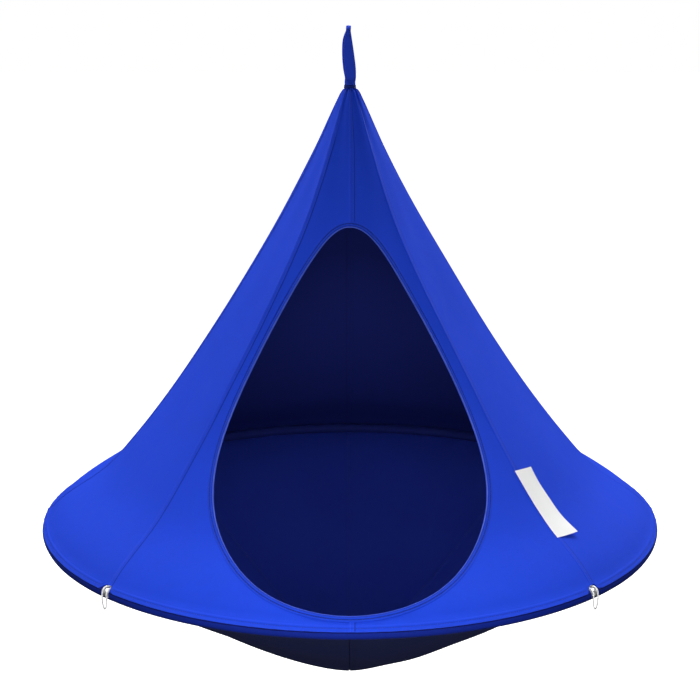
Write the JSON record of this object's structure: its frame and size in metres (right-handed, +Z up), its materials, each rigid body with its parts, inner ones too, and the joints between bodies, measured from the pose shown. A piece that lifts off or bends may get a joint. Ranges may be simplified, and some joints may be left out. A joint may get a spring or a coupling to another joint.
{
  "type": "hanging cone nest swing",
  "caption": "Hanging cloth nest: a cone tent over a dished seat on a stiff round rim, with an egg-shaped door and a webbing hanging loop.",
  "frame": {"origin": "hang point, on the inside top of the hanging loop where a hook bears", "axes": "+Z up along the line the pod hangs on; -Y is the side with the door; +X is to the right seen from the door side"},
  "size_m": [1.4994, 1.4994, 1.5868],
  "materials": {
    "cone_cloth": "plain-woven royal blue canvas, matt with a faint sheen",
    "hem_cloth": "folded and stitched blue canvas binding",
    "seat_cloth": "plain-woven blue canvas, matt",
    "webbing": "dark blue woven webbing",
    "loop_cloth": "blue canvas cover, creased",
    "bare_tube": "drawn aluminium tube",
    "white_cord": "braided white cord",
    "label_cloth": "woven white label, blank"
  },
  "bodies": {
    "hang_loop": {"loop_webbing": "webbing", "loop_cover": "loop_cloth"},
    "neck": {"loop_tail": "webbing"},
    "crown": {"crown_band": "hem_cloth"},
    "pod": {"base_patch": "seat_cloth", "blank_label": "label_cloth", "cone_gore_1": "cone_cloth", "cone_gore_2": "cone_cloth", "cone_gore_3": "cone_cloth", "cone_gore_4": "cone_cloth", "cone_gore_5": "cone_cloth", "cone_gore_6": "cone_cloth", "cone_gore_7": "cone_cloth", "cone_gore_8": "cone_cloth", "door_hem": "hem_cloth", "rim_sleeve_1": "hem_cloth", "rim_sleeve_2": "hem_cloth", "rim_sleeve_3": "hem_cloth", "rim_sleeve_4": "hem_cloth", "rim_tie_1": "white_cord", "rim_tie_2": "white_cord", "rim_tie_3": "white_cord", "rim_tie_4": "white_cord", "ring_spigot_1": "bare_tube", "ring_spigot_2": "bare_tube", "ring_spigot_3": "bare_tube", "ring_spigot_4": "bare_tube", "ring_tube_1": "bare_tube", "ring_tube_2": "bare_tube", "ring_tube_3": "bare_tube", "ring_tube_4": "bare_tube", "seam_tape_1": "webbing", "seam_tape_2": "webbing", "seam_tape_3": "webbing", "seam_tape_4": "webbing", "seam_tape_5": "webbing", "seam_tape_6": "webbing", "seam_tape_7": "webbing", "seam_tape_8": "webbing", "seat_gore_1": "seat_cloth", "seat_gore_2": "seat_cloth", "seat_gore_3": "seat_cloth", "seat_gore_4": "seat_cloth", "seat_gore_5": "seat_cloth", "seat_gore_6": "seat_cloth", "seat_gore_7": "seat_cloth", "seat_gore_8": "seat_cloth"}
  },
  "joints": [
    {"name": "swing_fore_aft", "type": "hinge", "parent": "hang_loop", "child": "neck", "pos_m": [0, 0, -0.134], "axis": [1, 0, 0], "range_deg": [-30, 30]},
    {"name": "swing_side", "type": "hinge", "parent": "neck", "child": "crown", "pos_m": [0, 0, -0.134], "axis": [0, 1, 0], "range_deg": [-25, 25]},
    {"name": "twist", "type": "hinge", "parent": "crown", "child": "pod", "pos_m": [0, 0, -0.134], "axis": [0, 0, 1], "range_deg": [-90, 90]}
  ]
}
